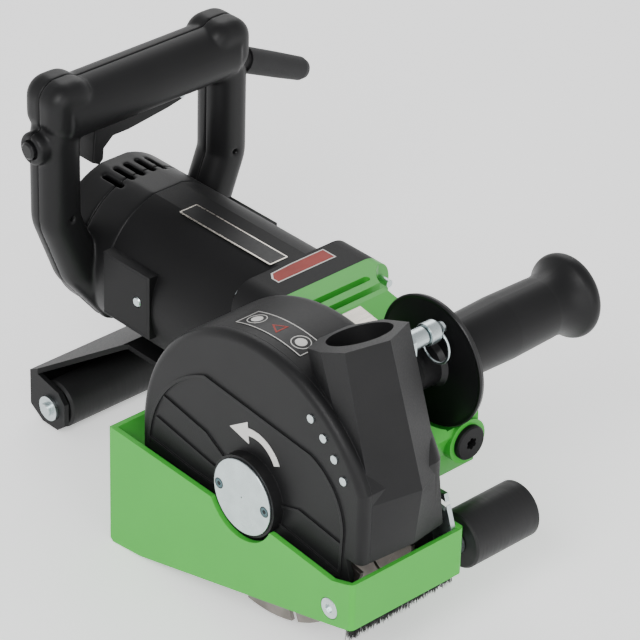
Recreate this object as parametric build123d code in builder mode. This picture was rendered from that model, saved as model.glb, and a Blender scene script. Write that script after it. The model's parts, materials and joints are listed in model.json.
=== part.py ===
from build123d import *
import os
from math import atan2, cos, degrees, pi, radians, sin, tan

# Wall chaser: a twin-disc groove cutter with a hinged skid frame, an angle gear head,
# a universal motor, a rear D handle and a side handle.
# The machine stands on the plane z = 0. +X is its right, +Y its rear, +Z up.

# --- Driving dimensions, in mm ---
hub_x = -116.5          # outer face of the hub cap, on the left of the hood
spin_y = -73.0          # spindle axis
spin_z = 81.0
motor_right = 110.0     # motor axis, right of the hub face
motor_up = 16.0         # motor axis, above the spindle axis
pivot_back = -67.5      # skid frame pivot, from the spindle axis
pivot_up = -31.6

disc_radius = 75.0
hood_radius = 88.0
hood_wall = 3.0
hood_left = 8.0         # outer face of the hood cover, right of the hub face
hood_seam = 14.0
hood_right = 66.0
port_radius = 17.3
port_right = 40.0       # centre of the port's mouth
port_back = -40.4
port_up = 100.7
port_seat = 22.0        # depth of the seat for the dust adapter
port_tilt = 22.8        # the port leans back by this many degrees

sheet = 3.0             # skid frame sheet
frame_width = 78.0
front_roller_radius = 15.8
rear_roller_back = 208.0
rear_roller_up = -67.0
rear_roller_radius = 14.0

head_top = 44.0         # flat top of gear head and collar, above the motor axis
barrel_radius = 45.0
head_rear = 59.0        # gear head ends and motor housing starts, behind the spindle
collar_rear = 84.0
barrel_rear = 185.0
shell_wall = 3.0

handle_back = 209.0     # middle plane of the D handle, behind the spindle
leg_half = 60.0         # leg centre lines, either side of the motor axis
grip_up = 102.0         # grip axis, above the motor axis
grip_radius = 17.5
side_handle_back = -33.1
side_handle_up = 57.4
guard_right = 100.0     # middle of the hand guard's disc
guard_radius = 36.4

spur_module = 1.4
spindle_teeth = 26
lay_spur_teeth = 14
bevel_module = 1.85
wheel_teeth = 24
pinion_teeth = 12
lay_back = 23.0         # lay shaft axis, behind the spindle and level with the motor axis

motor_x = hub_x + motor_right
motor_z = spin_z + motor_up

os.makedirs("parts", exist_ok=True)


def side(right):
    """Plane across the spindle: u is rearward and v up from its axis, facing right."""
    return Plane(origin=(hub_x + right, spin_y, spin_z), x_dir=(0, 1, 0), z_dir=(1, 0, 0))


def cross(back):
    """Plane across the motor: u is right and v up from its axis, facing forward."""
    return Plane(origin=(motor_x, spin_y + back, motor_z), x_dir=(1, 0, 0), z_dir=(0, -1, 0))


def along_x(back, up):
    """Plane through an axis parallel to X: u is right of the hub face, v the radius."""
    origin = (hub_x, spin_y + back, spin_z + up)
    return Plane(origin=origin, x_dir=(1, 0, 0), z_dir=(0, -1, 0))


def along_y(right=0.0, up=0.0):
    """Plane through an axis parallel to Y: u is behind the spindle, v the radius."""
    origin = (motor_x + right, spin_y, motor_z + up)
    return Plane(origin=origin, x_dir=(0, 1, 0), z_dir=(1, 0, 0))


def turned(plane, *profile):
    """Piece turned about its plane's x axis from (position, radius) points."""
    with BuildPart() as piece:
        with BuildSketch(plane):
            with BuildLine():
                Polyline(*profile, close=True)
            make_face()
        revolve(axis=Axis(plane.origin, plane.x_dir))
    return piece


def ring(plane, start, end, outer, inner):
    """Plain ring between two positions along its plane's x axis."""
    return turned(plane, (start, inner), (end, inner), (end, outer), (start, outer))


def bar(plane, start, end, radius):
    """Plain round bar between two positions along its plane's x axis."""
    return turned(plane, (start, 0), (end, 0), (end, radius), (start, radius))


def facing(plane, position):
    """Plane across a turning axis at one position along it."""
    centre = plane.origin + plane.x_dir * position
    return Plane(origin=centre, x_dir=plane.y_dir, z_dir=plane.x_dir)


def ball_bearing(plane, start, width, bore, outer, balls):
    """Inner ring, outer ring and a circle of balls."""
    race = (outer - bore) * 0.3
    with BuildPart() as piece:
        add(ring(plane, start, start + width, bore + race, bore).part)
        add(ring(plane, start, start + width, outer, outer - race).part)
        with Locations(facing(plane, start + width / 2)):
            with PolarLocations((outer + bore) / 2, balls):
                Sphere((outer - bore) * 0.19)
    return piece


def spur_gear(plane, start, end, teeth, bore, phase):
    """Straight spur gear with slim, straight-sided teeth."""
    pitch = spur_module * teeth / 2
    root = pitch - 1.25 * spur_module
    tip = pitch + 0.95 * spur_module
    half = spur_module * pi / 4 * 0.86
    foot = half + (pitch - root) * tan(radians(20))
    crown = half - (tip - pitch) * tan(radians(20))
    with BuildPart() as gear:
        with BuildSketch(facing(plane, start)):
            Circle(root)
            with PolarLocations(0, teeth, start_angle=phase):
                Polygon((root - 0.6, -foot), (tip, -crown), (tip, crown), (root - 0.6, foot),
                        align=None)
            Circle(bore, mode=Mode.SUBTRACT)
        extrude(amount=end - start)
    return gear


def bevel_gear(apex, axis, across, teeth, mate_teeth, bore, back, phase):
    """Straight bevel gear: teeth that narrow towards the apex, on a conical blank."""
    cone = atan2(teeth, mate_teeth)
    pitch = bevel_module * teeth / 2
    length = pitch / sin(cone)
    inner = 0.66
    half = bevel_module * pi / 4 * 0.8
    deep = 1.25 * bevel_module
    high = 0.9 * bevel_module
    face = Plane(origin=apex, x_dir=across, z_dir=axis)

    def element(share):
        """Plane across the pitch cone, at a share of its full length from the apex."""
        reach = length * share
        origin = (Vector(*apex) + Vector(*across) * (reach * sin(cone))
                  + Vector(*axis) * (reach * cos(cone)))
        sideways = Vector(*axis).cross(Vector(*across))
        toward = Vector(*apex) - origin
        return Plane(origin=origin, x_dir=sideways, z_dir=toward)

    def outline(share):
        foot = (half + deep * tan(radians(20))) * share
        crown = (half - high * tan(radians(20))) * share
        plane = element(share)
        outward = 1 if plane.y_dir.dot(Vector(*across)) > 0 else -1
        low = -(deep + 0.5) * share * outward
        top = high * share * outward
        with BuildSketch(plane) as tooth_end:
            Polygon((-foot, low), (foot, low), (crown, top), (-crown, top), align=None)
        return tooth_end.sketch

    with BuildPart() as tooth:
        loft(sections=[outline(1.0), outline(inner)])

    def root_point(share, depth):
        reach = length * share
        radius = reach * sin(cone) - depth * share * cos(cone)
        height = reach * cos(cone) + depth * share * sin(cone)
        return (radius, height)

    big = root_point(1.0, deep)
    small = root_point(inner, deep)
    blank_back = length * cos(cone) + back
    with BuildPart() as gear:
        with BuildSketch(Plane(origin=apex, x_dir=across,
                               z_dir=Vector(*axis).cross(Vector(*across)) * -1)):
            with BuildLine():
                Polyline((bore, small[1]), small, big, (big[0], blank_back),
                         (bore, blank_back), close=True)
            make_face()
        revolve(axis=Axis(apex, axis))
        with Locations(face):
            with PolarLocations(0, teeth, start_angle=phase):
                add(tooth.part.moved(face.location.inverse()))
    return gear


def outline_on(plane, points):
    """Closed outline of straight lines on a plane."""
    with BuildSketch(plane) as outline:
        Polygon(*points, align=None)
    return outline.sketch


def socket_screw(plane, start, length, radius, head, head_height):
    """Cap screw along its plane's x axis, with a hexagon socket in its head."""
    with BuildPart() as screw:
        add(bar(plane, start, start + length, radius).part)
        add(bar(plane, start - head_height, start, head).part)
        with BuildSketch(facing(plane, start - head_height)):
            RegularPolygon(head * 0.5, 6)
        extrude(amount=head_height * 0.6, mode=Mode.SUBTRACT)
    return screw


# --- Hood ---
rim_front = -80.0
rim_foot = -4.2
hood_rear_foot = -14.0
hub_screw_circle = 17.2


def hood_profile(wall):
    """Hood outline seen from the left, drawn inside its outer face by a wall thickness."""
    radius = hood_radius - wall
    front = rim_front + wall
    turn_up = (radius ** 2 - front ** 2) ** 0.5
    return radius, front, turn_up


def hood_inside(plane, wall):
    """Hollow of the hood: everything inside its rim, open at the bottom."""
    inner, inner_front, inner_up = hood_profile(wall)
    with BuildSketch(plane) as hollow:
        with BuildLine():
            under = CenterArc((0, 0), inner, 0, degrees(atan2(inner_up, inner_front)))
            Polyline(under @ 1, (inner_front, -60), (inner, -60), under @ 0)
        make_face()
    return hollow.sketch


def hood_wall_face(plane):
    """Whole side wall of the hood, down to the frame pivot lug at its front."""
    outer, front, front_up = hood_profile(0)
    with BuildSketch(plane) as wall:
        with BuildLine():
            over = CenterArc((0, 0), outer, 0, degrees(atan2(front_up, front)))
            Polyline(over @ 1, (front, rim_foot), (-69, rim_foot), (-76, -27), (-75.3, -36),
                     (-67.5, -40.6), (-55, -40), (20, -34), (60, -28),
                     (outer, hood_rear_foot), over @ 0)
        make_face()
    return wall.sketch


with BuildPart() as hood_cover:
    extrude(hood_wall_face(side(hood_left)), amount=hood_seam - hood_left)
    left_edges = hood_cover.edges().group_by(Axis.X)[0]
    fillet(left_edges.filter_by(
        lambda edge: edge.center().Z > spin_z + 12
        or abs(edge.center().Y - spin_y - rim_front) < 0.1
        or abs(edge.center().Y - spin_y - hood_radius) < 0.1), 4.5)
    extrude(hood_inside(side(hood_left + hood_wall), 5), amount=hood_seam - hood_left,
            mode=Mode.SUBTRACT)
    with BuildSketch(side(hood_left)):
        Circle(22.8)
    extrude(amount=-6.6)
    with BuildSketch(side(hood_left)):
        with BuildLine():
            arch = ThreePointArc((81, -10), (72, 22), (37.4, 51.5))
            nose = Line(arch @ 1, (-42, 43.5))
            chin = ThreePointArc(nose @ 1, (-60, 30), (-66.7, 10))
            Line(chin @ 1, (-65.5, -16))
        trace(line_width=1.7)
        with BuildLine():
            Polyline((69, 24), (36.2, 18), (21, 9))
        trace(line_width=1.5)
        with BuildLine():
            Line((75, 8.5), (21, -1))
        trace(line_width=1.5)
        with BuildLine():
            Polyline((80, -6.6), (44.6, -10.4), (20, -10.4))
        trace(line_width=1.5)
        with BuildLine():
            Polyline((-21, 2.6), (-34.7, 6.8), (-66, 2.4))
        trace(line_width=1.5)
        with BuildLine():
            Line((-19, -8.5), (-65.5, -15.4))
        trace(line_width=1.5)
    extrude(amount=-1.0)
    with BuildSketch(side(-5)):
        Circle(15)
    extrude(amount=20, mode=Mode.SUBTRACT)
    with BuildSketch(side(0)):
        with Locations((pivot_back, pivot_up)):
            Circle(4.0)
        with PolarLocations(hub_screw_circle, 2):
            Circle(1.55)
    extrude(amount=12, mode=Mode.SUBTRACT)
hood_cover.part.label = "hood_cover"
export_step(hood_cover.part, "parts/hood_cover.step")

hub_face = side(0)
with BuildPart() as hub_cap:
    with BuildSketch(hub_face):
        Circle(21.2)
    extrude(amount=1.2)
    fillet(hub_cap.edges().group_by(Axis.X)[0], 0.5)
    with BuildSketch(hub_face):
        with PolarLocations(17.2, 2):
            Circle(2.9)
    extrude(amount=1.2, taper=22, mode=Mode.SUBTRACT)
hub_cap.part.label = "hub_cap"
export_step(hub_cap.part, "parts/hub_cap.step")

screw_seats = (17.2, -17.2)
with BuildPart() as hub_screws:
    for seat in screw_seats:
        add(turned(along_x(seat, 0), (0.1, 0), (0.1, 2.7), (1.3, 1.5), (10, 1.5), (10, 0)).part)

# --- Hood body: rim, right wall and the dust port column ---
port_mouth = Plane(origin=(hub_x + port_right, spin_y + port_back, spin_z + port_up),
                   x_dir=(1, 0, 0),
                   z_dir=(0, sin(radians(port_tilt)), cos(radians(port_tilt))))
column_top = ((-25, -17), (-5, -29), (19.5, -16), (21, 6), (10, 20), (-8, 21.5), (-22, 15),
              (-26, 0))
column_waist = ((14.2, -80), (43, -86), (62.5, -78), (62.5, -60), (58, -50), (32, -50), (16, -54),
                (14.2, -66))
column_foot = ((14.2, -80), (43, -82), (66, -79), (66, -60), (58, -50), (32, -50), (16, -54),
               (14.2, -66))
waist_up = 30.0
flange_spigot = 23.6

latch_axis = along_x(-46.5, 87)
latch_wall = 59.0
depth_screw_back = -58.7
depth_screw_up = 1.2
mouth_outline = outline_on(port_mouth, column_top)
waist_outline = outline_on(Plane(origin=(hub_x, spin_y, spin_z + waist_up)), column_waist)
foot_outline = outline_on(Plane(origin=(hub_x, spin_y, spin_z + rim_foot)), column_foot)

handle_axis = along_x(side_handle_back, side_handle_up)

with BuildPart() as hood_body:
    extrude(hood_wall_face(side(hood_seam + 0.1)), amount=hood_right - hood_seam - 0.1)
    right_edges = hood_body.edges().group_by(Axis.X)[-1]
    fillet(right_edges.filter_by(
        lambda edge: edge.center().Z > spin_z + 12
        or abs(edge.center().Y - spin_y - rim_front) < 0.1
        or abs(edge.center().Y - spin_y - hood_radius) < 0.1), 8.6)
    loft(sections=[mouth_outline, waist_outline], ruled=True)
    loft(sections=[waist_outline, foot_outline], ruled=True)
    extrude(hood_inside(side(hood_seam), hood_wall), amount=62 - hood_seam,
            mode=Mode.SUBTRACT)
    add(bar(handle_axis, 64, guard_right - 16.5, 11.5).part)
    add(bar(handle_axis, 64, guard_right - 16, 4.9).part, mode=Mode.SUBTRACT)
    with BuildSketch(port_mouth):
        Circle(port_radius)
    extrude(amount=-port_seat, mode=Mode.SUBTRACT)
    with BuildSketch(port_mouth):
        Circle(port_radius - 1.8)
    extrude(amount=-60, mode=Mode.SUBTRACT)
    with BuildSketch(side(60)):
        Circle(flange_spigot)
        with Locations((pivot_back, pivot_up)):
            Circle(4.5)
        with Locations((depth_screw_back, depth_screw_up)):
            Circle(2.35)
    extrude(amount=10, mode=Mode.SUBTRACT)
    add(bar(latch_axis, latch_wall - 1.4, 70, 5.3).part, mode=Mode.SUBTRACT)
    add(bar(latch_axis, 50, 60, 2.6).part, mode=Mode.SUBTRACT)
hood_body.part.label = "hood_body"
export_step(hood_body.part, "parts/hood_body.step")

# --- Depth dots and turning arrow on the cover ---
with BuildPart() as cover_rivets:
    with BuildSketch(side(hood_left)):
        with PolarLocations(77.3, 4, start_angle=122.4, angular_range=26, endpoint=True):
            Circle(2.3)
    extrude(amount=-0.9)
cover_rivets.part.label = "cover_rivets"
export_step(cover_rivets.part, "parts/cover_rivets.step")

with BuildPart() as turning_arrow:
    with BuildSketch(side(hood_left)):
        with BuildLine():
            ThreePointArc((-17.5, 24.5), (-10, 32.5), (6, 33.8))
        trace(line_width=4.4)
        Polygon((5, 40), (18.2, 31.2), (3.5, 27.5), align=None)
    extrude(amount=-0.35)
turning_arrow.part.label = "turning_arrow"
export_step(turning_arrow.part, "parts/turning_arrow.step")

# --- Spindle with its discs ---
spindle_axis = along_x(0, 0)
spindle = turned(spindle_axis, (4, 0), (4, 7), (13, 7), (13, 11), (52.6, 11), (52.6, 13),
                 (58.6, 13), (58.6, 8.5), (77, 8.5), (77, 7.5), (92, 7.5), (92, 0))
spindle.part.label = "spindle"
export_step(spindle.part, "parts/spindle.step")

segment_count = 12
slot_width = 5.0


def cutting_disc(right):
    """Diamond disc: thin steel core with gullets and wider rim segments."""
    with BuildPart() as disc:
        with BuildSketch(side(right + 0.35)):
            Circle(66)
            Circle(11.05, mode=Mode.SUBTRACT)
            with PolarLocations(58, segment_count, start_angle=9):
                Rectangle(18, 2.4, mode=Mode.SUBTRACT)
                with Locations((-9, 0)):
                    Circle(2.6, mode=Mode.SUBTRACT)
        extrude(amount=1.7)
        with BuildSketch(side(right)):
            Circle(disc_radius)
            Circle(65.8, mode=Mode.SUBTRACT)
            with PolarLocations(71, segment_count, start_angle=9):
                Rectangle(14, slot_width, mode=Mode.SUBTRACT)
        extrude(amount=2.4)
    return disc


disc_left_at = 14.2
disc_right_at = 50.0
disc_left = cutting_disc(disc_left_at)
disc_left.part.label = "disc_left"
export_step(disc_left.part, "parts/disc_left.step")

disc_right = cutting_disc(disc_right_at)
disc_right.part.label = "disc_right"
export_step(disc_right.part, "parts/disc_right.step")

spacer_starts = (16.25, 26.25, 36.25, 42.25, 46.25)
spacer_ends = (26.25, 36.25, 42.25, 46.25, 50.35)
with BuildPart() as spacer_rings:
    for start, end in zip(spacer_starts, spacer_ends):
        add(ring(spindle_axis, start, end - 0.05, 20, 11.05).part)
spacer_rings.part.label = "spacer_rings"
export_step(spacer_rings.part, "parts/spacer_rings.step")

with BuildPart() as clamp_nut:
    add(turned(spindle_axis, (6.5, 7), (6.5, 12), (10.5, 12), (10.5, 14.2), (13, 14.2),
               (13, 20), (14.55, 20), (14.55, 11.05), (13, 11.05), (13, 7)).part)
    with BuildSketch(side(6.5)):
        with PolarLocations(9.6, 2):
            Circle(1.6)
    extrude(amount=4, mode=Mode.SUBTRACT)
clamp_nut.part.label = "clamp_nut"
export_step(clamp_nut.part, "parts/clamp_nut.step")

inner_flange = turned(spindle_axis, (52.05, 11.05), (52.6, 11.05), (52.6, 13), (58, 13),
                      (58, 15), (55, 22), (52.05, 22))
inner_flange.part.label = "inner_flange"
export_step(inner_flange.part, "parts/inner_flange.step")

flange_screw_axes = []
for turn in (335, 95, 215):
    flange_screw_axes.append(along_x(28.5 * cos(radians(turn)), 28.5 * sin(radians(turn))))

with BuildPart() as bearing_flange:
    add(turned(spindle_axis, (59.4, 17.5), (59.4, 23.5), (66, 23.5), (66, 34), (71.9, 34),
               (71.9, 19.6), (74.5, 19.6), (74.5, 17.5)).part)
    for at in flange_screw_axes:
        add(turned(at, (65.9, 0), (65.9, 4.3), (68.2, 2), (78.1, 2), (78.1, 0)).part,
            mode=Mode.SUBTRACT)
bearing_flange.part.label = "bearing_flange"
export_step(bearing_flange.part, "parts/bearing_flange.step")

with BuildPart() as spindle_bearings:
    for start in (59.6, 67.3):
        add(ball_bearing(spindle_axis, start, 7, 8.55, 17.5, 9).part)
spindle_bearings.part.label = "spindle_bearings"
export_step(spindle_bearings.part, "parts/spindle_bearings.step")

# --- Gear train: motor pinion, bevel wheel, lay shaft, spur pinion, spindle gear ---
lay_axis = along_x(lay_back, motor_up)
apex = (motor_x, spin_y + lay_back, motor_z)
line_of_centres = degrees(atan2(motor_up, lay_back))

spindle_gear = spur_gear(spindle_axis, 81, 91, spindle_teeth, 7.5,
                         line_of_centres - 90 + 180 / spindle_teeth)
spindle_gear.part.label = "spindle_gear"
export_step(spindle_gear.part, "parts/spindle_gear.step")

lay_shaft = turned(lay_axis, (75.2, 0), (75.2, 4), (80.6, 4), (80.6, 5), (113.6, 5), (113.6, 4),
                   (119.8, 4), (119.8, 0))
lay_shaft.part.label = "lay_shaft"
export_step(lay_shaft.part, "parts/lay_shaft.step")

lay_pinion = spur_gear(lay_axis, 80.8, 91.4, lay_spur_teeth, 5, line_of_centres + 90)
lay_pinion.part.label = "lay_pinion"
export_step(lay_pinion.part, "parts/lay_pinion.step")

bevel_wheel = bevel_gear(apex, (-1, 0, 0), (0, 1, 0), wheel_teeth, pinion_teeth, 5, 4.5, 0)
bevel_wheel.part.label = "bevel_wheel"
export_step(bevel_wheel.part, "parts/bevel_wheel.step")

bevel_pinion = bevel_gear(apex, (0, 1, 0), (-1, 0, 0), pinion_teeth, wheel_teeth, 4.5, 4,
                          180 / pinion_teeth)
bevel_pinion.part.label = "bevel_pinion"
export_step(bevel_pinion.part, "parts/bevel_pinion.step")

with BuildPart() as lay_bearings:
    add(ball_bearing(lay_axis, 75.2, 5, 4.05, 8.5, 7).part)
    add(ball_bearing(lay_axis, 114, 5.8, 4.05, 9.5, 7).part)
lay_bearings.part.label = "lay_bearings"
export_step(lay_bearings.part, "parts/lay_bearings.step")

# --- Gear case ---
case_left = 72.0
case_front_right = 127.0
section_half = 43.0
plug_up = 12.5
plug_radius = 9.7
screw_half = 34.0


def head_section(plane, left_half):
    """Section of gear head and motor collar, with a flat top."""
    width = left_half + section_half
    middle = (section_half - left_half) / 2
    height = head_top + barrel_radius
    with BuildSketch(plane) as section:
        with Locations((middle, (head_top - barrel_radius) / 2)):
            Rectangle(width, height)
        corners = section.vertices()
        right_corners = corners.group_by(Axis.X)[-1]
        fillet(right_corners, 14)
        if left_half > 40:
            fillet(section.vertices().group_by(Axis.X)[0], 14)
    return section.sketch


def case_side(plane):
    """Gear case seen from the left: flat top, sloping shoulder and round nose."""
    top = motor_up + head_top
    bottom = motor_up - barrel_radius
    with BuildSketch(plane) as outline:
        with BuildLine():
            Polyline((0, bottom), (head_rear, bottom), (head_rear, top), (28, top), (8, top - 3.5))
            ThreePointArc((8, top - 3.5), (-31, 47), (-50, 19))
            Polyline((-50, 19), (-44.5, 5), (-40, -12), (-29, -18), (-16.6, -24), (0, bottom))
        make_face()
    return outline.sketch


def case_plan(plane):
    """Gear case seen from above: narrow at the spindle, full width at the motor."""
    full_right = motor_right + section_half
    with BuildSketch(plane) as outline:
        with BuildLine():
            Polyline((case_left, head_rear), (case_left, -28), (84, -51), (118, -51),
                     (case_front_right, -40), (case_front_right, 26))
            ThreePointArc((case_front_right, 26), (131.5, 41), (142, 51))
            Polyline((142, 51), (full_right, 54), (full_right, head_rear), (case_left, head_rear))
        make_face()
        fillet(outline.vertices().group_by(Axis.Y)[0], 7)
    return outline.sketch


case_floor = Plane(origin=(hub_x, spin_y, 20))

with BuildPart() as gear_case:
    extrude(case_side(side(case_left)), amount=section_half * 2)
    extrude(case_plan(case_floor), amount=160, mode=Mode.INTERSECT)
    extrude(head_section(cross(head_rear), motor_right - case_left), amount=120,
            mode=Mode.INTERSECT)
    with BuildSketch(facing(along_y(0, plug_up - motor_up), -30)):
        Circle(12.6)
    extrude(amount=-21.3)
    # scoop and saddle that leave room for the side handle and its guard
    with BuildSketch(side(guard_right - 2)):
        with Locations((side_handle_back, side_handle_up)):
            Circle(guard_radius + 1)
    extrude(amount=50, dir=(-0.588, -0.615, 0.525), mode=Mode.SUBTRACT)
    add(bar(handle_axis, guard_right - 3, guard_right + 4.5, guard_radius + 1.6).part,
        mode=Mode.SUBTRACT)
    add(bar(handle_axis, guard_right - 30, guard_right + 60, 20).part, mode=Mode.SUBTRACT)
    # chambers for the gears and seats for the bearings
    add(bar(spindle_axis, 76, 93.5, 22.2).part, mode=Mode.SUBTRACT)
    add(bar(spindle_axis, 71, 77, 19.7).part, mode=Mode.SUBTRACT)
    add(bar(lay_axis, 79, 93.5, 12.8).part, mode=Mode.SUBTRACT)
    add(bar(lay_axis, 75, 79.5, 8.5).part, mode=Mode.SUBTRACT)
    add(bar(lay_axis, 93, 113.5, 24.6).part, mode=Mode.SUBTRACT)
    add(bar(lay_axis, 113, 120, 9.5).part, mode=Mode.SUBTRACT)
    add(bar(along_y(), 30, 50.5, 16).part, mode=Mode.SUBTRACT)
    add(bar(along_y(), 50, 60, 11).part, mode=Mode.SUBTRACT)
    add(bar(along_y(0, plug_up - motor_up), -52, -36, 6.5).part, mode=Mode.SUBTRACT)
    # air outlets across the flat top
    for at in flange_screw_axes:
        add(bar(at, 70, 78.2, 2).part, mode=Mode.SUBTRACT)
    with BuildSketch(Plane(origin=(hub_x, spin_y, spin_z + motor_up + head_top))):
        with Locations((107.5, 44), (110, 34)):
            SlotOverall(42, 4.6)
    extrude(amount=-8, mode=Mode.SUBTRACT)
    # pocket that feeds the outlets from the fan chamber
    with BuildSketch(facing(along_y(), head_rear)):
        with Locations((32, 0)):
            Rectangle(9, 40)
    extrude(amount=-28, mode=Mode.SUBTRACT)
    with Locations(facing(along_y(), head_rear)):
        with GridLocations(2 * screw_half, 2 * screw_half, 2, 2):
            Hole(2.2, depth=16)
gear_case.part.label = "gear_case"
export_step(gear_case.part, "parts/gear_case.step")

with BuildPart() as gear_plug:
    add(turned(along_y(0, plug_up - motor_up), (-38, 0), (-38, 6.4), (-51.3, 6.4),
               (-51.3, plug_radius), (-53.6, plug_radius), (-54.4, plug_radius - 0.8),
               (-54.4, 0)).part)
    with BuildSketch(facing(along_y(0, plug_up - motor_up), -54.4)):
        with PolarLocations(2.3, 6):
            Circle(1.25)
        Circle(2.5)
    extrude(amount=4, mode=Mode.SUBTRACT)
gear_plug.part.label = "gear_plug"
export_step(gear_plug.part, "parts/gear_plug.step")

with BuildPart() as rating_plate:
    with BuildSketch(side(87)):
        Polygon((26, 59.72), (9.5, 56.84), (9.5, 57.34), (26, 60.22), align=None)
    extrude(amount=18)

with BuildPart() as flange_screws:
    for at in flange_screw_axes:
        add(turned(at, (66.2, 0), (66.2, 4), (68.2, 2), (78, 2), (78, 0)).part)

with BuildPart() as case_screws:
    add(flange_screws.part)
    for right in (-screw_half, screw_half):
        for up in (-screw_half, screw_half):
            add(socket_screw(along_y(right, up), collar_rear, 44 - collar_rear, 2.15,
                             3.6, -3.5).part)
case_screws.part.label = "case_screws"
export_step(case_screws.part, "parts/case_screws.step")

# --- Motor housing and what turns inside it ---
motor_axis = along_y()
barrel_inside = barrel_radius - shell_wall
brush_back = 166.0
panel_left = 63.6
panel_length = 36.5
cover_screw_axis = along_x(157, motor_up + 2)

with BuildPart() as motor_housing:
    extrude(head_section(cross(collar_rear), section_half), amount=collar_rear - head_rear)
    with BuildSketch(cross(barrel_rear)):
        Circle(barrel_radius)
        with Locations((0, head_top + 20)):
            Rectangle(60, 40, mode=Mode.SUBTRACT)
    extrude(amount=barrel_rear - collar_rear)
    # flat pads that carry the two brush covers
    with BuildSketch(cross(barrel_rear)):
        with Locations((0, 2)):
            Rectangle(2 * (motor_right - panel_left), 39)
    extrude(amount=panel_length + 2)
    with BuildSketch(cross(barrel_rear)):
        for right in (-1, 1):
            with Locations((right * (motor_right - panel_left + 6.7), 2)):
                Rectangle(20, 36.2)
    extrude(amount=panel_length + 0.1, mode=Mode.SUBTRACT)
    add(bar(motor_axis, head_rear - 1, barrel_rear - 7, barrel_inside).part, mode=Mode.SUBTRACT)
    add(bar(motor_axis, barrel_rear - 8, barrel_rear + 1, 11).part, mode=Mode.SUBTRACT)
    with BuildSketch(cross(barrel_rear)):
        with PolarLocations(27, 6):
            Circle(8)
    extrude(amount=10, mode=Mode.SUBTRACT)
    with BuildSketch(cross(brush_back + 6)):
        for right in (-1, 1):
            with Locations((right * 43, 0)):
                Rectangle(12, 12)
    extrude(amount=12, mode=Mode.SUBTRACT)
    with Locations(facing(motor_axis, collar_rear)):
        with GridLocations(2 * screw_half, 2 * screw_half, 2, 2):
            Hole(2.2, depth=26)
    for right in (-screw_half, screw_half):
        for up in (-screw_half, screw_half):
            add(bar(along_y(right, up), collar_rear, collar_rear + 9, 4.4).part,
                mode=Mode.SUBTRACT)
    add(bar(cover_screw_axis, 60, 160, 1.9).part, mode=Mode.SUBTRACT)
motor_housing.part.label = "motor_housing"
export_step(motor_housing.part, "parts/motor_housing.step")

armature = turned(motor_axis, (37.7, 0), (37.7, 4.5), (57, 4.5), (57, 6), (88, 6), (88, 19),
                  (95, 21), (95, 22.6), (145, 22.6), (145, 21), (152, 17), (152, 6), (176, 6),
                  (176, 4), (187, 4), (187, 0))
armature.part.label = "armature"
export_step(armature.part, "parts/armature.step")

with BuildPart() as commutator:
    with BuildSketch(facing(motor_axis, 156)):
        Circle(14)
        Circle(6, mode=Mode.SUBTRACT)
        with PolarLocations(14, 22):
            Rectangle(3, 0.5, mode=Mode.SUBTRACT)
    extrude(amount=18)
commutator.part.label = "commutator"
export_step(commutator.part, "parts/commutator.step")

with BuildPart() as fan:
    add(ring(motor_axis, 66, 68, 37, 6).part)
    add(ring(motor_axis, 66, 78, 9, 6).part)
    with BuildSketch(facing(motor_axis, 68)):
        with PolarLocations(22.5, 14):
            Rectangle(29, 1.8)
    extrude(amount=8)
fan.part.label = "fan"
export_step(fan.part, "parts/fan.step")

stator_front = 98.0
stator_rear = 142.0
with BuildPart() as stator:
    with BuildSketch(facing(motor_axis, stator_front)):
        Circle(barrel_inside)
        Circle(23.4, mode=Mode.SUBTRACT)
        with PolarLocations(27.6, 2):
            Rectangle(9, 30, mode=Mode.SUBTRACT)
    extrude(amount=stator_rear - stator_front)
stator.part.label = "stator"
export_step(stator.part, "parts/stator.step")

with BuildPart() as field_coils:
    with BuildSketch(facing(motor_axis, stator_front - 8)):
        for up in (1, -1):
            with Locations((up * 28.2, 0)):
                Rectangle(7, 29)
    extrude(amount=stator_rear - stator_front + 16)
field_coils.part.label = "field_coils"
export_step(field_coils.part, "parts/field_coils.step")

with BuildPart() as motor_bearings:
    add(ball_bearing(motor_axis, 50.5, 6.4, 4.55, 11, 7).part)
    add(ball_bearing(motor_axis, 178, 6.5, 4.05, 11, 7).part)
motor_bearings.part.label = "motor_bearings"
export_step(motor_bearings.part, "parts/motor_bearings.step")

with BuildPart() as brush_covers:
    with BuildSketch(cross(barrel_rear)):
        for right in (-1, 1):
            with Locations((right * (motor_right - panel_left - 1.6), 2)):
                Rectangle(3.2, 36)
    extrude(amount=panel_length)
    add(bar(cover_screw_axis, 50, 170, 2).part, mode=Mode.SUBTRACT)
    add(bar(cover_screw_axis, 50, panel_left + 1.2, 3.2).part, mode=Mode.SUBTRACT)
    add(bar(cover_screw_axis, 2 * motor_right - panel_left - 1.2, 170, 3.2).part,
        mode=Mode.SUBTRACT)
brush_covers.part.label = "brush_covers"
export_step(brush_covers.part, "parts/brush_covers.step")

with BuildPart() as cover_screws:
    add(hub_screws.part)
    for face, inward in ((panel_left, 1), (2 * motor_right - panel_left, -1)):
        add(turned(cover_screw_axis, (face - 0.6 * inward, 0), (face - 0.6 * inward, 2.4),
                   (face + 0.2 * inward, 3), (face + 1.2 * inward, 3),
                   (face + 1.2 * inward, 1.9), (face + 5.4 * inward, 1.9),
                   (face + 5.4 * inward, 0)).part)
cover_screws.part.label = "cover_screws"
export_step(cover_screws.part, "parts/cover_screws.step")

with BuildPart() as brush_holders:
    for right in (-42, 20):
        with BuildSketch(side(motor_right + right)):
            with Locations((brush_back, motor_up)):
                Rectangle(11, 11)
                Rectangle(8.2, 8.2, mode=Mode.SUBTRACT)
        extrude(amount=22)
brush_holders.part.label = "brush_holders"
export_step(brush_holders.part, "parts/brush_holders.step")

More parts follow.
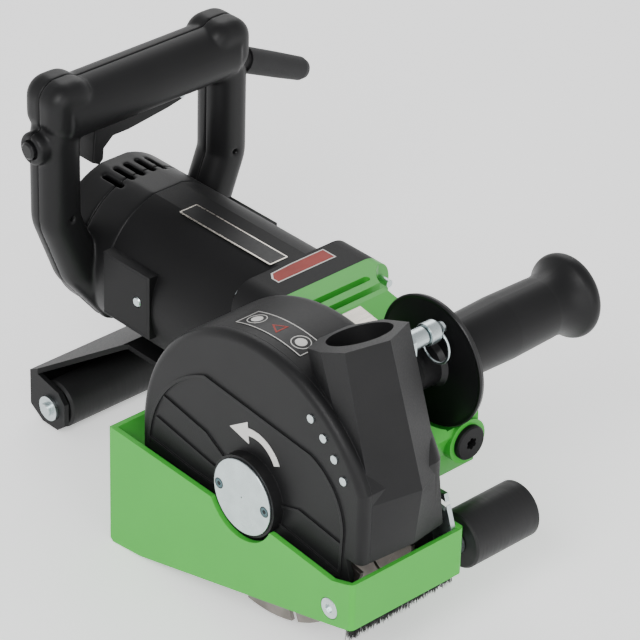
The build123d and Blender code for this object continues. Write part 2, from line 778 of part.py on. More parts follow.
with BuildPart() as brushes:
    with BuildSketch(cross(brush_back + 4)):
        for right in (-1, 1):
            with Locations((right * 23.2, 0)):
                Rectangle(18, 8)
    extrude(amount=8)
brushes.part.label = "brushes"
export_step(brushes.part, "parts/brushes.step")

with BuildPart() as blank_plates:
    add(rating_plate.part)
    with BuildSketch(Plane(origin=(motor_x - 6.5, spin_y + 124, motor_z + head_top))):
        RectangleRounded(13, 74, 1)
    extrude(amount=0.4)
blank_plates.part.label = "blank_plates"
export_step(blank_plates.part, "parts/blank_plates.step")

with BuildPart() as hood_label:
    with BuildSketch(side(19.5)):
        with BuildLine():
            low = CenterArc((0, 0), hood_radius + 0.02, 71, 32)
            high = CenterArc((0, 0), hood_radius + 0.3, 71, 32)
            Line(low @ 0, high @ 0)
            Line(low @ 1, high @ 1)
        make_face()
    extrude(amount=16.5)
hood_label.part.label = "hood_label"
export_step(hood_label.part, "parts/hood_label.step")

# --- Rear D handle: two shells parted across the machine, with the switch inside ---
cap_rear = 232.0
handle_mid = cross(handle_back)
button_axis = along_x(handle_back, motor_up + 85)
trigger_pin_right = 22.0
trigger_pin_up = 89.0
trigger_pin_axis = along_y(trigger_pin_right, trigger_pin_up)
handle_screw_places = ((-60, 109), (60, 109), (-59, 41), (59, 41), (-33, -8), (33, -8))
screw_seat = 219.0
sleeve_axis = Plane(origin=(motor_x + leg_half + 4, spin_y + handle_back, motor_z + grip_up - 8),
                    x_dir=(cos(radians(25)), 0, -sin(radians(25))), z_dir=(0, -1, 0))
leg_low = (-20, -30)
leg_turn = (-46, 2)
leg_knee = (-leg_half, 38)
leg_top = (-leg_half, grip_up)


def mirrored(points):
    """Points of the right half, in the order that closes a left half."""
    return [(-u, v) for u, v in reversed(points)]


def handle_loop(width, depth, corner, ends):
    """Bent bar that makes both legs and the top of the D."""
    half = [(leg_low[0] + ends, leg_low[1] + ends), leg_turn, leg_knee, leg_top]
    with BuildPart() as loop:
        with BuildLine(cross(handle_back)):
            path = FilletPolyline(*(half + mirrored(half)), radius=17)
        start = path % 0
        with BuildSketch(Plane(origin=path @ 0, z_dir=start, x_dir=(0, 1, 0))):
            RectangleRounded(depth, width, corner)
        sweep()
    return loop


def shoulder(end):
    """Swollen corner where a leg meets the grip."""
    with BuildPart() as corner:
        with BuildSketch(cross(handle_back)):
            with Locations((end * (leg_half - 4), grip_up + 4)):
                RectangleRounded(30, 33, 12)
        extrude(amount=15.5, both=True)
        fillet(corner.edges().group_by(Axis.Y)[0] + corner.edges().group_by(Axis.Y)[-1], 9)
    return corner


def handle_solid():
    """Outer form of the whole handle with its end cap, before it is parted."""
    with BuildPart() as whole:
        add(handle_loop(24, 27, 10.5, 0).part)
        add(bar(along_x(handle_back, motor_up + grip_up), motor_right - leg_half,
                motor_right + leg_half, grip_radius).part)
        add(turned(button_axis, (33, 0), (33, 8.2), (34.6, 9.6), (45, 9.6), (45, 0)).part)
        add(shoulder(-1).part)
        add(shoulder(1).part)
        with BuildSketch(cross(cap_rear)):
            Circle(barrel_radius)
            with Locations((0, head_top + 20)):
                Rectangle(60, 40, mode=Mode.SUBTRACT)
        extrude(amount=cap_rear - barrel_rear)
    return whole


def handle_hollow():
    """Space inside the handle: end cap, legs, grip, trigger slot and lock button bore."""
    with BuildPart() as space:
        add(handle_loop(17, 20, 7, 3).part)
        add(bar(along_x(handle_back, motor_up + grip_up), motor_right - leg_half,
                motor_right + leg_half, grip_radius - 3).part)
        add(bar(motor_axis, barrel_rear - 1, cap_rear - 3, barrel_inside).part)
        for right, up in handle_screw_places:
            add(bar(along_y(right, up), barrel_rear - 2, cap_rear, 5.4).part,
                mode=Mode.SUBTRACT)
    return space


def handle_shell(keep):
    """One shell of the handle, in front of or behind the parting plane."""
    with BuildPart() as shell:
        add(whole_handle.part)
        add(hollow_handle.part, mode=Mode.SUBTRACT)
        # room for the lever and its travel, and the bore of the lock button
        with BuildSketch(handle_mid):
            with Locations((-6, 76)):
                Rectangle(70, 32)
        extrude(amount=8.4, both=True, mode=Mode.SUBTRACT)
        add(bar(button_axis, 20, 50, 5.2).part, mode=Mode.SUBTRACT)
        add(bar(trigger_pin_axis, handle_back - 10.5, handle_back + 10.5, 2).part,
            mode=Mode.SUBTRACT)
        for right, up in handle_screw_places:
            add(bar(along_y(right, up), 195, 225, 1.6).part, mode=Mode.SUBTRACT)
            add(bar(along_y(right, up), screw_seat, 240, 3.4).part, mode=Mode.SUBTRACT)
        add(bar(sleeve_axis, -20, 20, 6.2).part, mode=Mode.SUBTRACT)
        with BuildSketch(cross(222)):
            with GridLocations(7.6, 1, 5, 1):
                with Locations((0, head_top - 3)):
                    SlotOverall(9, 3.2, rotation=90)
        extrude(amount=17, mode=Mode.SUBTRACT)
        split(bisect_by=handle_mid, keep=keep)
    return shell


whole_handle = handle_solid()
hollow_handle = handle_hollow()
handle_front = handle_shell(Keep.TOP)
handle_front.part.label = "handle_front"
export_step(handle_front.part, "parts/handle_front.step")

handle_rear = handle_shell(Keep.BOTTOM)
handle_rear.part.label = "handle_rear"
export_step(handle_rear.part, "parts/handle_rear.step")

with BuildPart() as handle_screws:
    for right, up in handle_screw_places:
        add(socket_screw(along_y(right, up), screw_seat, -20, 1.55, 3.2, -2.4).part)
handle_screws.part.label = "handle_screws"
export_step(handle_screws.part, "parts/handle_screws.step")

with BuildPart() as trigger:
    with BuildSketch(handle_mid):
        with BuildLine():
            Polyline((27, 91), (24, 84), (14, 82), (-14, 78.5), (-25, 78.5), (-31.5, 73),
                     (-32, 66.5), (-35, 64), (-39.5, 66.5), (-38.5, 79), (-37, 89),
                     (20, 93.5), close=True)
        make_face()
        with Locations((trigger_pin_right, trigger_pin_up)):
            Circle(2.08, mode=Mode.SUBTRACT)
    extrude(amount=7.6, both=True)
    fillet(trigger.edges().filter_by(lambda edge: edge.center().Z < motor_z + 82
                                     and abs(edge.center().Y - spin_y - handle_back) > 7), 1.2)
trigger.part.label = "trigger"
export_step(trigger.part, "parts/trigger.step")

trigger_pin = bar(trigger_pin_axis, handle_back - 10.4, handle_back + 10.4, 1.99)
trigger_pin.part.label = "trigger_pin"
export_step(trigger_pin.part, "parts/trigger_pin.step")

with BuildPart() as switch_body:
    with BuildSketch(handle_mid):
        with Locations((-5, 105)):
            Rectangle(50, 12)
    extrude(amount=8, both=True)
switch_body.part.label = "switch_body"
export_step(switch_body.part, "parts/switch_body.step")

lock_button = turned(button_axis, (30.6, 0), (30.6, 3.8), (31.6, 5), (43.6, 5), (43.6, 6.6),
                     (45, 6.6), (45, 0))
lock_button.part.label = "lock_button"
export_step(lock_button.part, "parts/lock_button.step")

cable_sleeve = turned(sleeve_axis, (-5, 0), (-5, 6.1), (13, 6.1), (13, 7.7), (40, 7.4),
                      (60, 6.9), (63.5, 5.6), (64.5, 4), (64.5, 0))
cable_sleeve.part.label = "cable_sleeve"
export_step(cable_sleeve.part, "parts/cable_sleeve.step")

# --- Skid frame, its pivots, rollers and depth stop ---
frame_left = -1.0
frame_front = -84.0
frame_right = frame_left + frame_width
frame_rear = 103.0
notch_radius = 24.5


def frame_panel(plane):
    """Left side panel of the skid frame, with the notch round the hub."""
    with BuildSketch(plane) as panel:
        Polygon((frame_front, -9), (-68.8, -13.8), (-24.9, -9.8), (22.5, -10.7),
                (frame_rear, -7.9), (frame_rear, -79), (100.9, -81), (78, -78.4),
                (-69.5, -40.9), (-78, -38.5), (frame_front, -37), align=None)
        Circle(notch_radius, mode=Mode.SUBTRACT)
    return panel.sketch


with BuildPart() as skid_frame:
    extrude(frame_panel(side(frame_left)), amount=sheet)
    with BuildSketch(side(frame_right - sheet)):
        Polygon((frame_front, -9), (-60, -9), (-40, -36), (60, -36), (frame_rear, -50),
                (frame_rear, -79), (100.9, -81), (78, -78.4), (-69.5, -40.9), (-78, -38.5),
                (frame_front, -37), align=None)
    extrude(amount=sheet)
    with BuildSketch(side(frame_left)):
        Polygon((frame_front, -9), (frame_front + sheet, -9.6), (frame_front + sheet, -37),
                (frame_front, -37), align=None)
    extrude(amount=frame_width)
    with BuildSketch(cross(frame_rear)):
        Polygon((frame_left - motor_right, -7.9 - motor_up), (55 - motor_right, -7.9 - motor_up),
                (frame_right - motor_right, -50 - motor_up),
                (frame_right - motor_right, -79 - motor_up),
                (frame_left - motor_right, -79 - motor_up), align=None)
    extrude(amount=sheet)
    front_corners = skid_frame.edges().filter_by(Axis.Z).group_by(Axis.Y)[0]
    fillet(front_corners, 2.8)
    with BuildSketch(side(frame_left - 1)):
        with Locations((pivot_back, pivot_up)):
            Circle(6.1)
    extrude(amount=sheet + 2, mode=Mode.SUBTRACT)
    with BuildSketch(side(frame_right - sheet - 1)):
        with Locations((pivot_back, pivot_up)):
            Circle(5.1)
        with Locations((-76, -20), (-62, -18)):
            Circle(1.9)
    extrude(amount=sheet + 2, mode=Mode.SUBTRACT)
skid_frame.part.label = "skid_frame"
export_step(skid_frame.part, "parts/skid_frame.step")

with BuildPart() as brush_strip:
    with BuildSketch(side(8.2)):
        Polygon((-80.9, -22), (-79.1, -22), (-79.1, -45.5), (-80.9, -45.5), align=None)
    extrude(amount=62)
brush_strip.part.label = "brush_strip"
export_step(brush_strip.part, "parts/brush_strip.step")

pivot_axis = along_x(pivot_back, pivot_up)


def pierced_nut(axis_plane, start, end, across_flats, bore):
    """Hexagon nut on a turning axis."""
    with BuildPart() as nut:
        with BuildSketch(facing(axis_plane, start)):
            RegularPolygon(across_flats / 2, 6, major_radius=False)
            Circle(bore, mode=Mode.SUBTRACT)
        extrude(amount=end - start)
    return nut


with BuildPart() as left_bolt:
    add(turned(pivot_axis, (-1.2, 0), (-1.2, 5.2), (-0.9, 5.8), (2.1, 5.8), (2.1, 4),
               (10.6, 4), (10.6, 0)).part)
    with BuildSketch(facing(pivot_axis, -1.2)):
        RegularPolygon(2.6, 6)
    extrude(amount=1.6, mode=Mode.SUBTRACT)
right_axle = turned(pivot_axis, (56.4, 0), (56.4, 4.2), (57, 4.45), (137.4, 4.45), (138.2, 3.6),
                    (138.2, 0))
axle_nut = pierced_nut(pivot_axis, 57.4, 61.9, 13, 4.5)
inner_spacer = ring(pivot_axis, 66.1, 73.6, 6.4, 4.5)
outer_spacer = ring(pivot_axis, 77.6, 88.2, 6.8, 4.5)
pivot_bolts = Compound(children=[left_bolt.part, right_axle.part, axle_nut.part,
                                 inner_spacer.part, outer_spacer.part])
pivot_bolts.label = "pivot_bolts"
export_step(pivot_bolts, "parts/pivot_bolts.step")

inner_wheel = ring(pivot_axis, 2.6, 7.4, 12.3, 4.06)
inner_wheel.part.label = "inner_wheel"
export_step(inner_wheel.part, "parts/inner_wheel.step")

front_roller = turned(pivot_axis, (88.8, 4.46), (88.8, 14.8), (89.8, front_roller_radius),
                      (134, front_roller_radius), (135, 14.8), (135, 4.46))
front_roller.part.label = "front_roller"
export_step(front_roller.part, "parts/front_roller.step")

quadrant_radius = 34.0
with BuildPart() as depth_quadrant:
    with BuildSketch(side(frame_right - sheet - 2.9)):
        Polygon((-80.6, -10), (-74, 8.5), (-50, 7.5), (-44.5, -12), (-56, -27), (-80.6, -27),
                align=None)
        with BuildLine():
            CenterArc((pivot_back, pivot_up), quadrant_radius, 68, 36)
        trace(line_width=5.6, mode=Mode.SUBTRACT)
        with Locations((pivot_back, pivot_up)):
            Circle(7.5, mode=Mode.SUBTRACT)
    extrude(amount=2.8)
depth_quadrant.part.label = "depth_quadrant"
export_step(depth_quadrant.part, "parts/depth_quadrant.step")

depth_axis = along_x(depth_screw_back, depth_screw_up)
with BuildPart() as depth_screw:
    add(turned(depth_axis, (57, 0), (57, 2.3), (74, 2.3), (74, 5.6), (75.2, 5.6), (75.2, 4.6),
               (79, 4.6), (79.6, 4), (79.6, 0)).part)
    with BuildSketch(facing(depth_axis, 79.6)):
        RegularPolygon(2.4, 6)
    extrude(amount=-3, mode=Mode.SUBTRACT)
depth_screw.part.label = "depth_screw"
export_step(depth_screw.part, "parts/depth_screw.step")

# --- Rear roller under the motor ---
roller_centre = along_x(rear_roller_back, rear_roller_up)
bracket_left = 43.0
bracket_right = 2 * motor_right - bracket_left
bracket_top = motor_up - barrel_radius
with BuildPart() as roller_bracket:
    with BuildSketch(side(bracket_left)):
        with BuildLine():
            Polyline((138, bracket_top - 0.1), (186, bracket_top - 0.1), (225.7, -50),
                     (225.7, -72), (222.7, -72), (222.7, -52), (185, bracket_top - 3.1),
                     (138, bracket_top - 3.1), close=True)
        make_face()
    extrude(amount=bracket_right - bracket_left)
    with BuildSketch(Plane(origin=(hub_x, spin_y, spin_z - 90))):
        Polygon((motor_right - 30, 130), (motor_right + 30, 130), (motor_right + 30, 184),
                (bracket_right, 219), (bracket_right, 230), (bracket_left, 230),
                (bracket_left, 219), (motor_right - 30, 184), align=None)
    extrude(amount=80, mode=Mode.INTERSECT)
    for ear in (bracket_left, bracket_right - sheet):
        with BuildSketch(side(ear)):
            Polygon((225.7, -50), (225.7, -72.5), (215, -79.2), (202, -79.2), (195.5, -74),
                    (195.5, -60), (201, -54), (219, -50), align=None)
        extrude(amount=sheet)
    add(bar(roller_centre, bracket_left - 2, bracket_right + 2, 4).part, mode=Mode.SUBTRACT)
    with BuildSketch(Plane(origin=(motor_x, spin_y + 150, spin_z + bracket_top))):
        with GridLocations(36, 1, 2, 1):
            Circle(2.2)
    extrude(amount=-8, mode=Mode.SUBTRACT)
roller_bracket.part.label = "roller_bracket"
export_step(roller_bracket.part, "parts/roller_bracket.step")

rear_roller = turned(roller_centre, (48, 4.1), (48, 12.5), (49.5, rear_roller_radius),
                     (170.5, rear_roller_radius), (172, 12.5), (172, 4.1))
rear_roller.part.label = "rear_roller"
export_step(rear_roller.part, "parts/rear_roller.step")

roller_axle = turned(roller_centre, (38.4, 0), (38.4, 3.4), (39, 4), (41, 4), (41, 7.4),
                     (42.9, 7.4), (42.9, 3.98), (177.1, 3.98), (177.1, 7.4), (179, 7.4),
                     (179, 4), (181, 4), (181.6, 3.4), (181.6, 0))
roller_axle.part.label = "roller_axle"
export_step(roller_axle.part, "parts/roller_axle.step")

# --- Side handle ---
handle_stud = bar(handle_axis, 64.5, guard_right + 17, 4.85)
handle_stud.part.label = "handle_stud"
export_step(handle_stud.part, "parts/handle_stud.step")

guard_profile = ((-16.4, 4.9), (-16.4, 11.5), (-5, 11.9), (-2.3, 14), (-1.1, 34), (-1.6, 35.8),
                 (-0.8, guard_radius), (1.3, 35.8), (1.8, 34.3), (0.9, 13.4), (0.9, 4.9))
hand_guard = turned(handle_axis, *[(guard_right + along, out) for along, out in guard_profile])
hand_guard.part.label = "hand_guard"
export_step(hand_guard.part, "parts/hand_guard.step")

with BuildPart() as side_grip:
    with BuildSketch(Plane(origin=handle_axis.origin + Vector(guard_right, 0, 0),
                           x_dir=handle_axis.x_dir, z_dir=handle_axis.z_dir)):
        with BuildLine():
            Polyline((20, 4.9), (1, 4.9), (1, 11.5), (2.4, 13.4))
            ThreePointArc((2.4, 13.4), (5, 15.9), (10, 16.8))
            Polyline((10, 16.8), (47.5, 17.8), (77, 17.1))
            ThreePointArc((77, 17.1), (87.5, 18.4), (93.3, 21.8))
            ThreePointArc((93.3, 21.8), (97.6, 23.5), (101.9, 21.8))
            Polyline((101.9, 21.8), (104.4, 13.4), (105.3, 5.7), (105.3, 0), (20, 0), (20, 4.9))
        make_face()
    revolve(axis=Axis(handle_axis.origin, handle_axis.x_dir))
side_grip.part.label = "side_grip"
export_step(side_grip.part, "parts/side_grip.step")

# --- Spring latch of the dust adapter, on the port column ---
with BuildPart() as latch_body:
    add(turned(latch_axis, (latch_wall - 1.2, 2.6), (latch_wall - 1.2, 5.2), (78, 5.2),
               (79, 4.4), (79, 2.6)).part)
    add(pierced_nut(latch_axis, 62.4, 67.5, 14.5, 5.1).part)
    add(bar(latch_axis, latch_wall, 74, 4.1).part, mode=Mode.SUBTRACT)
latch_body.part.label = "latch_body"
export_step(latch_body.part, "parts/latch_body.step")

with BuildPart() as latch_pin:
    add(turned(latch_axis, (57.45, 0), (57.45, 1.6), (58.2, 2.5), (59.4, 2.5), (59.4, 3.9), (61, 3.9),
               (61, 2.5), (79.4, 2.5), (79.4, 6.2), (86, 6.2), (90, 3.4), (92, 2.9),
               (92, 0)).part)
    with BuildSketch(Plane(origin=(hub_x + 88, spin_y - 46.5, spin_z + 87),
                           x_dir=(1, 0, 0), z_dir=(0, -1, 0))):
        Circle(2.1)
    extrude(amount=8, both=True, mode=Mode.SUBTRACT)
latch_pin.part.label = "latch_pin"
export_step(latch_pin.part, "parts/latch_pin.step")

ring_radius = 9.5
ring_centre = (hub_x + 88, spin_y - 46.5, spin_z + 87 - ring_radius)
with BuildPart() as latch_ring:
    with BuildSketch(Plane(origin=ring_centre, x_dir=(0, 0, 1), z_dir=(0, 1, 0))):
        with Locations((ring_radius, 0)):
            Circle(0.75)
    revolve(axis=Axis(ring_centre, (1, 0, 0)))
latch_ring.part.label = "latch_ring"
export_step(latch_ring.part, "parts/latch_ring.step")

with BuildPart() as latch_spring:
    for turn in range(6):
        position = 61.7 + 1.45 * turn
        with BuildSketch(latch_axis):
            with Locations((position, 3.35)):
                Circle(0.55)
        revolve(axis=Axis(latch_axis.origin, latch_axis.x_dir))
latch_spring.part.label = "latch_spring"
export_step(latch_spring.part, "parts/latch_spring.step")
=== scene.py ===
"""Looks of a wall chaser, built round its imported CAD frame. Lengths are in metres."""
import json
import math
import random

import bmesh
import bpy
from mathutils import Matrix, Vector


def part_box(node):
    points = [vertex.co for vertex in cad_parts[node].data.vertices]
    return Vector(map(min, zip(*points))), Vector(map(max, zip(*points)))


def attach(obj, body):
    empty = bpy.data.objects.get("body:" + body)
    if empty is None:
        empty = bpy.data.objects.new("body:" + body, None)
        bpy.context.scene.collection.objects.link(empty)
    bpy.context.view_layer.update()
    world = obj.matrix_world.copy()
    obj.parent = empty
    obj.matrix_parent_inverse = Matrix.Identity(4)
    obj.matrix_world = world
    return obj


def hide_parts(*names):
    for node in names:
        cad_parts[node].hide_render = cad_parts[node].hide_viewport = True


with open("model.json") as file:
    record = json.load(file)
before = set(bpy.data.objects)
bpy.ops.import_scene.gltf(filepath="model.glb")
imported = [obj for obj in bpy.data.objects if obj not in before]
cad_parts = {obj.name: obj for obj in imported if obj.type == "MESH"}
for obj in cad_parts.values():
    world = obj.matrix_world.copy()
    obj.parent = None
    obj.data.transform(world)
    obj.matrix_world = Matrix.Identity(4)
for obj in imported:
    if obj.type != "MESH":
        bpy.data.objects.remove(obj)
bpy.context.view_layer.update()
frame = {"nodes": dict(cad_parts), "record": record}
MM = 0.001
random.seed(12)

# --- Places read from the frame ---
cap_low, cap_high = [Vector(corner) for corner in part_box("hub_cap")]
HUB = Vector((cap_low.x, (cap_low.y + cap_high.y) / 2, (cap_low.z + cap_high.z) / 2))


def at(right, back, up):
    """Point given in millimetres right of, behind and above the middle of the hub cap."""
    return HUB + Vector((right, back, up)) * MM


HUB_SCREW_CIRCLE = 17.2
SUNK = 0.02      # how far a thin mark's back lies inside the surface that it is on
POINT = 0.01     # inner radius of a mark that is filled in

# --- Camera ---
AZIMUTH, ELEVATION, ROLL = math.radians(-43.7), math.radians(31.7), math.radians(1.7)
FOCAL_PIXELS, PICTURE_WIDTH, SENSOR = 3500.0, 640.0, 36.0
CAMERA_FROM_HUB = Vector((-984.3, -1083.9, 1011.2)) * MM


def make_camera():
    """Camera at the reference view: a long lens, slightly rolled."""
    back = Vector((math.sin(AZIMUTH) * math.cos(ELEVATION),
                   -math.cos(AZIMUTH) * math.cos(ELEVATION), math.sin(ELEVATION)))
    level = Vector((math.cos(AZIMUTH), math.sin(AZIMUTH), 0.0))
    upright = back.cross(level)
    right = level * math.cos(ROLL) + upright * math.sin(ROLL)
    up = upright * math.cos(ROLL) - level * math.sin(ROLL)
    data = bpy.data.cameras.new("camera")
    data.sensor_width = SENSOR
    data.lens = FOCAL_PIXELS / PICTURE_WIDTH * SENSOR
    data.clip_end = 20.0
    camera = bpy.data.objects.new("camera", data)
    bpy.context.scene.collection.objects.link(camera)
    turn = Matrix((right, up, back)).transposed().to_4x4()
    camera.matrix_world = Matrix.Translation(HUB + CAMERA_FROM_HUB) @ turn
    bpy.context.scene.camera = camera


# --- Mesh helpers ---
def mesh_piece(name, points, faces, body, slot, material):
    """Makes a mesh object, gives it a material and lets it ride on a body."""
    data = bpy.data.meshes.new(name)
    data.from_pydata([tuple(point) for point in points], [], faces)
    data.validate()
    piece = bpy.data.objects.new(name, data)
    bpy.context.scene.collection.objects.link(piece)
    shape = bmesh.new()
    shape.from_mesh(data)
    bmesh.ops.recalc_face_normals(shape, faces=shape.faces)
    shape.to_mesh(data)
    shape.free()
    data.materials.append(material)
    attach(piece, body)
    return piece


def rounded(piece, width, segments=2):
    """Rounds a piece's edges with a bevel modifier."""
    bevel = piece.modifiers.new("rounded", "BEVEL")
    bevel.width = width
    bevel.segments = segments
    bevel.limit_method = "ANGLE"
    return piece


def slab(outline, lift):
    """Points and faces of a thin slab between an outline and its lifted copy."""
    count = len(outline)
    points = list(outline) + [point + lift for point in outline]
    faces = [list(range(count)), list(range(count, 2 * count))]
    for index in range(count):
        following = (index + 1) % count
        faces.append([index, following, following + count, index + count])
    return points, faces


# --- Materials ---
def new_material(name):
    material = bpy.data.materials.new(name)
    material.use_nodes = True
    tree = material.node_tree
    shader = tree.nodes["Principled BSDF"]
    return material, tree, shader


def noise(tree, scale, detail=4.0, stretch=(1.0, 1.0, 1.0)):
    """Noise texture in the object's own space."""
    place = tree.nodes.new("ShaderNodeTexCoord")
    mapping = tree.nodes.new("ShaderNodeMapping")
    mapping.inputs["Scale"].default_value = stretch
    texture = tree.nodes.new("ShaderNodeTexNoise")
    texture.inputs["Scale"].default_value = scale
    texture.inputs["Detail"].default_value = detail
    tree.links.new(place.outputs["Object"], mapping.inputs["Vector"])
    tree.links.new(mapping.outputs["Vector"], texture.inputs["Vector"])
    return texture.outputs["Fac"]


def ranged(tree, source, low, high, start=0.3, end=0.7):
    """Maps a factor to a range."""
    remap = tree.nodes.new("ShaderNodeMapRange")
    remap.inputs["From Min"].default_value = start
    remap.inputs["From Max"].default_value = end
    remap.inputs["To Min"].default_value = low
    remap.inputs["To Max"].default_value = high
    tree.links.new(source, remap.inputs["Value"])
    return remap.outputs["Result"]


def mixed(tree, factor, first, second):
    """Mixes two colours; each is a tuple or a socket."""
    mix = tree.nodes.new("ShaderNodeMix")
    mix.data_type = "RGBA"
    tree.links.new(factor, mix.inputs["Factor"])
    for socket, value in (("A", first), ("B", second)):
        target = [port for port in mix.inputs if port.name == socket and port.type == "RGBA"][0]
        if isinstance(value, tuple):
            target.default_value = (*value, 1.0)
        else:
            tree.links.new(value, target)
    return [port for port in mix.outputs if port.type == "RGBA"][0]


def edge_mask(tree, radius):
    """Factor that is 1 on convex and concave edges and 0 on open faces."""
    bevel = tree.nodes.new("ShaderNodeBevel")
    bevel.samples = 4
    bevel.inputs["Radius"].default_value = radius
    geometry = tree.nodes.new("ShaderNodeNewGeometry")
    dot = tree.nodes.new("ShaderNodeVectorMath")
    dot.operation = "DOT_PRODUCT"
    tree.links.new(bevel.outputs["Normal"], dot.inputs[0])
    tree.links.new(geometry.outputs["Normal"], dot.inputs[1])
    return ranged(tree, dot.outputs["Value"], 1.0, 0.0, 0.86, 0.995), bevel.outputs["Normal"]


def finish_material(name, colour, edge_highlight, roughness, metallic=0.0, grain=900.0, depth=0.15,
                    distance=0.0001, mottle=60.0, shade=0.8, edge=0.0004, stretch=(1, 1, 1),
                    specular=0.5, coat=0.0):
    """A surface with colour drift, fine grain, uneven gloss and painted highlights on its edges.
    """
    material, tree, shader = new_material(name)
    drift = ranged(tree, noise(tree, mottle, 5.0), 0.0, 1.0)
    dark = tuple(channel * shade for channel in colour)
    base = mixed(tree, drift, dark, colour)
    # Painted highlight: a lighter edge colour, broken up by noise, is mixed onto convex and
    # concave edges where light would catch them.
    mask, soft_normal = edge_mask(tree, edge)
    broken = noise(tree, 350.0, 3.0)
    multiply = tree.nodes.new("ShaderNodeMath")
    multiply.operation = "MULTIPLY"
    tree.links.new(mask, multiply.inputs[0])
    tree.links.new(ranged(tree, broken, 0.1, 1.0), multiply.inputs[1])
    tree.links.new(mixed(tree, multiply.outputs[0], base, edge_highlight), shader.inputs["Base Color"])
    fine = noise(tree, grain, 6.0, stretch)
    tree.links.new(ranged(tree, fine, roughness * 0.88, roughness * 1.12),
                   shader.inputs["Roughness"])
    bump = tree.nodes.new("ShaderNodeBump")
    bump.inputs["Strength"].default_value = depth
    bump.inputs["Distance"].default_value = distance
    tree.links.new(fine, bump.inputs["Height"])
    tree.links.new(soft_normal, bump.inputs["Normal"])
    tree.links.new(bump.outputs["Normal"], shader.inputs["Normal"])
    shader.inputs["Metallic"].default_value = metallic
    shader.inputs["Specular IOR Level"].default_value = specular
    shader.inputs["Coat Weight"].default_value = coat
    shader.inputs["Coat Roughness"].default_value = 0.12
    return material


